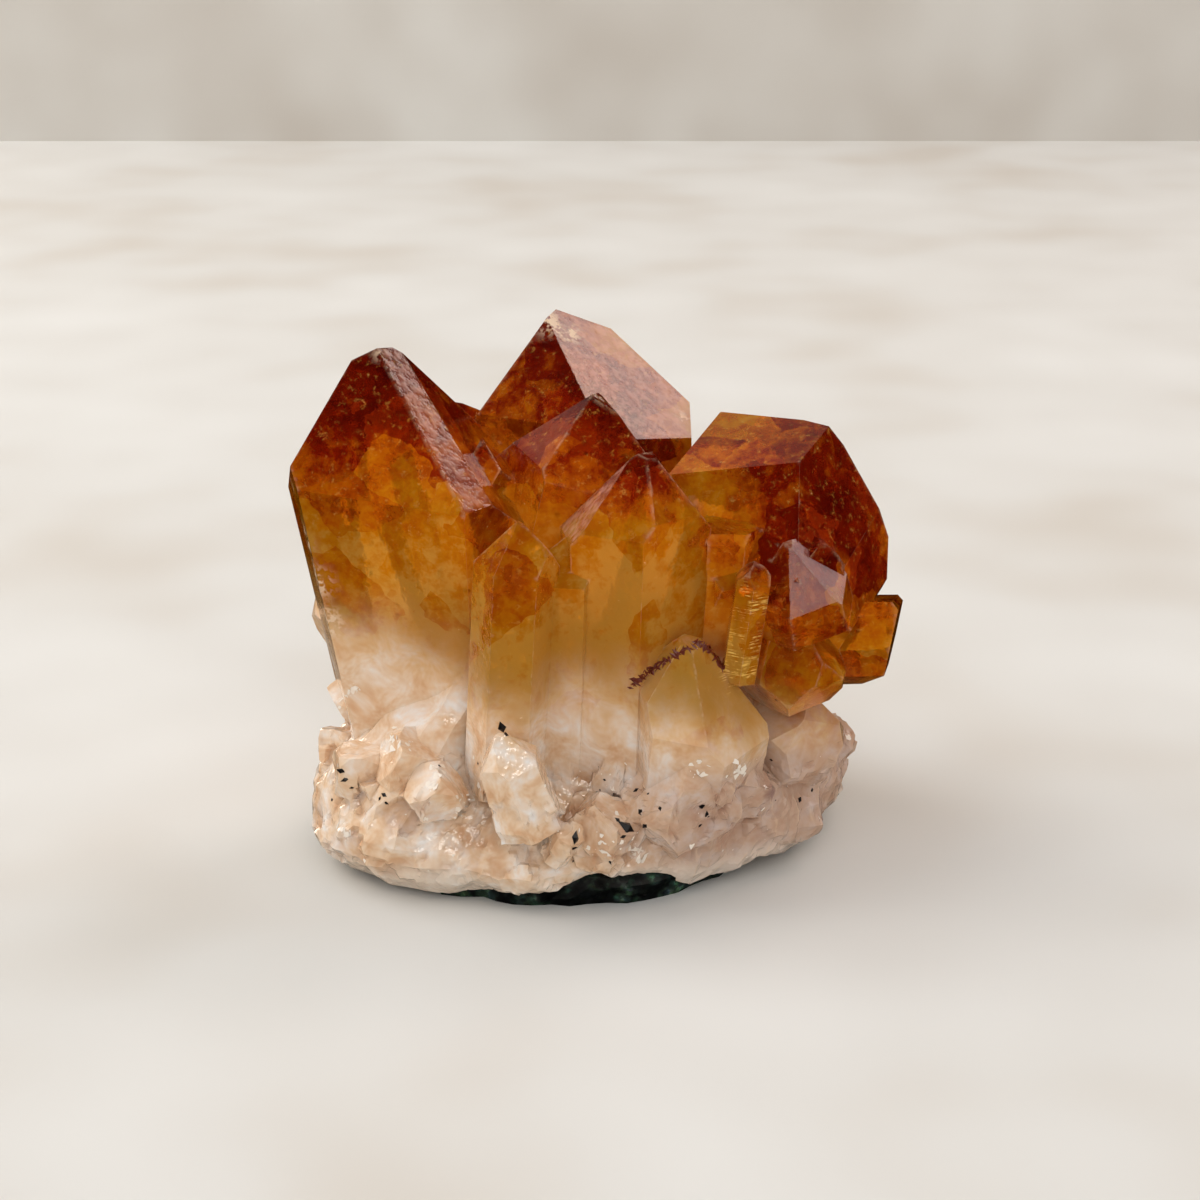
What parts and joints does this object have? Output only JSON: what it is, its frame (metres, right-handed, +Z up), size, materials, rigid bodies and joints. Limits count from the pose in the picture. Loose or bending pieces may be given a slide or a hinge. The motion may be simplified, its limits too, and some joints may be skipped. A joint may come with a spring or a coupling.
{
  "type": "citrine cluster",
  "caption": "Citrine cluster: amber quartz points fused on a milky quartz base with a dark green rock rind under it, standing on the rind's flat underside.",
  "frame": {"origin": "on the flat underside of the rock rind, under the middle of the cluster", "axes": "+Z up, +X to the right of the side that the picture shows, -Y towards the viewer"},
  "size_m": [0.0702, 0.0531, 0.0589],
  "materials": {
    "citrine_quartz": "clear amber at the tips, fading to milky pinkish white at the base",
    "green_rock": "rough dark green and black rock"
  },
  "bodies": {
    "root": {"crystal_cluster": "citrine_quartz", "rock_rind": "green_rock"}
  },
  "joints": []
}
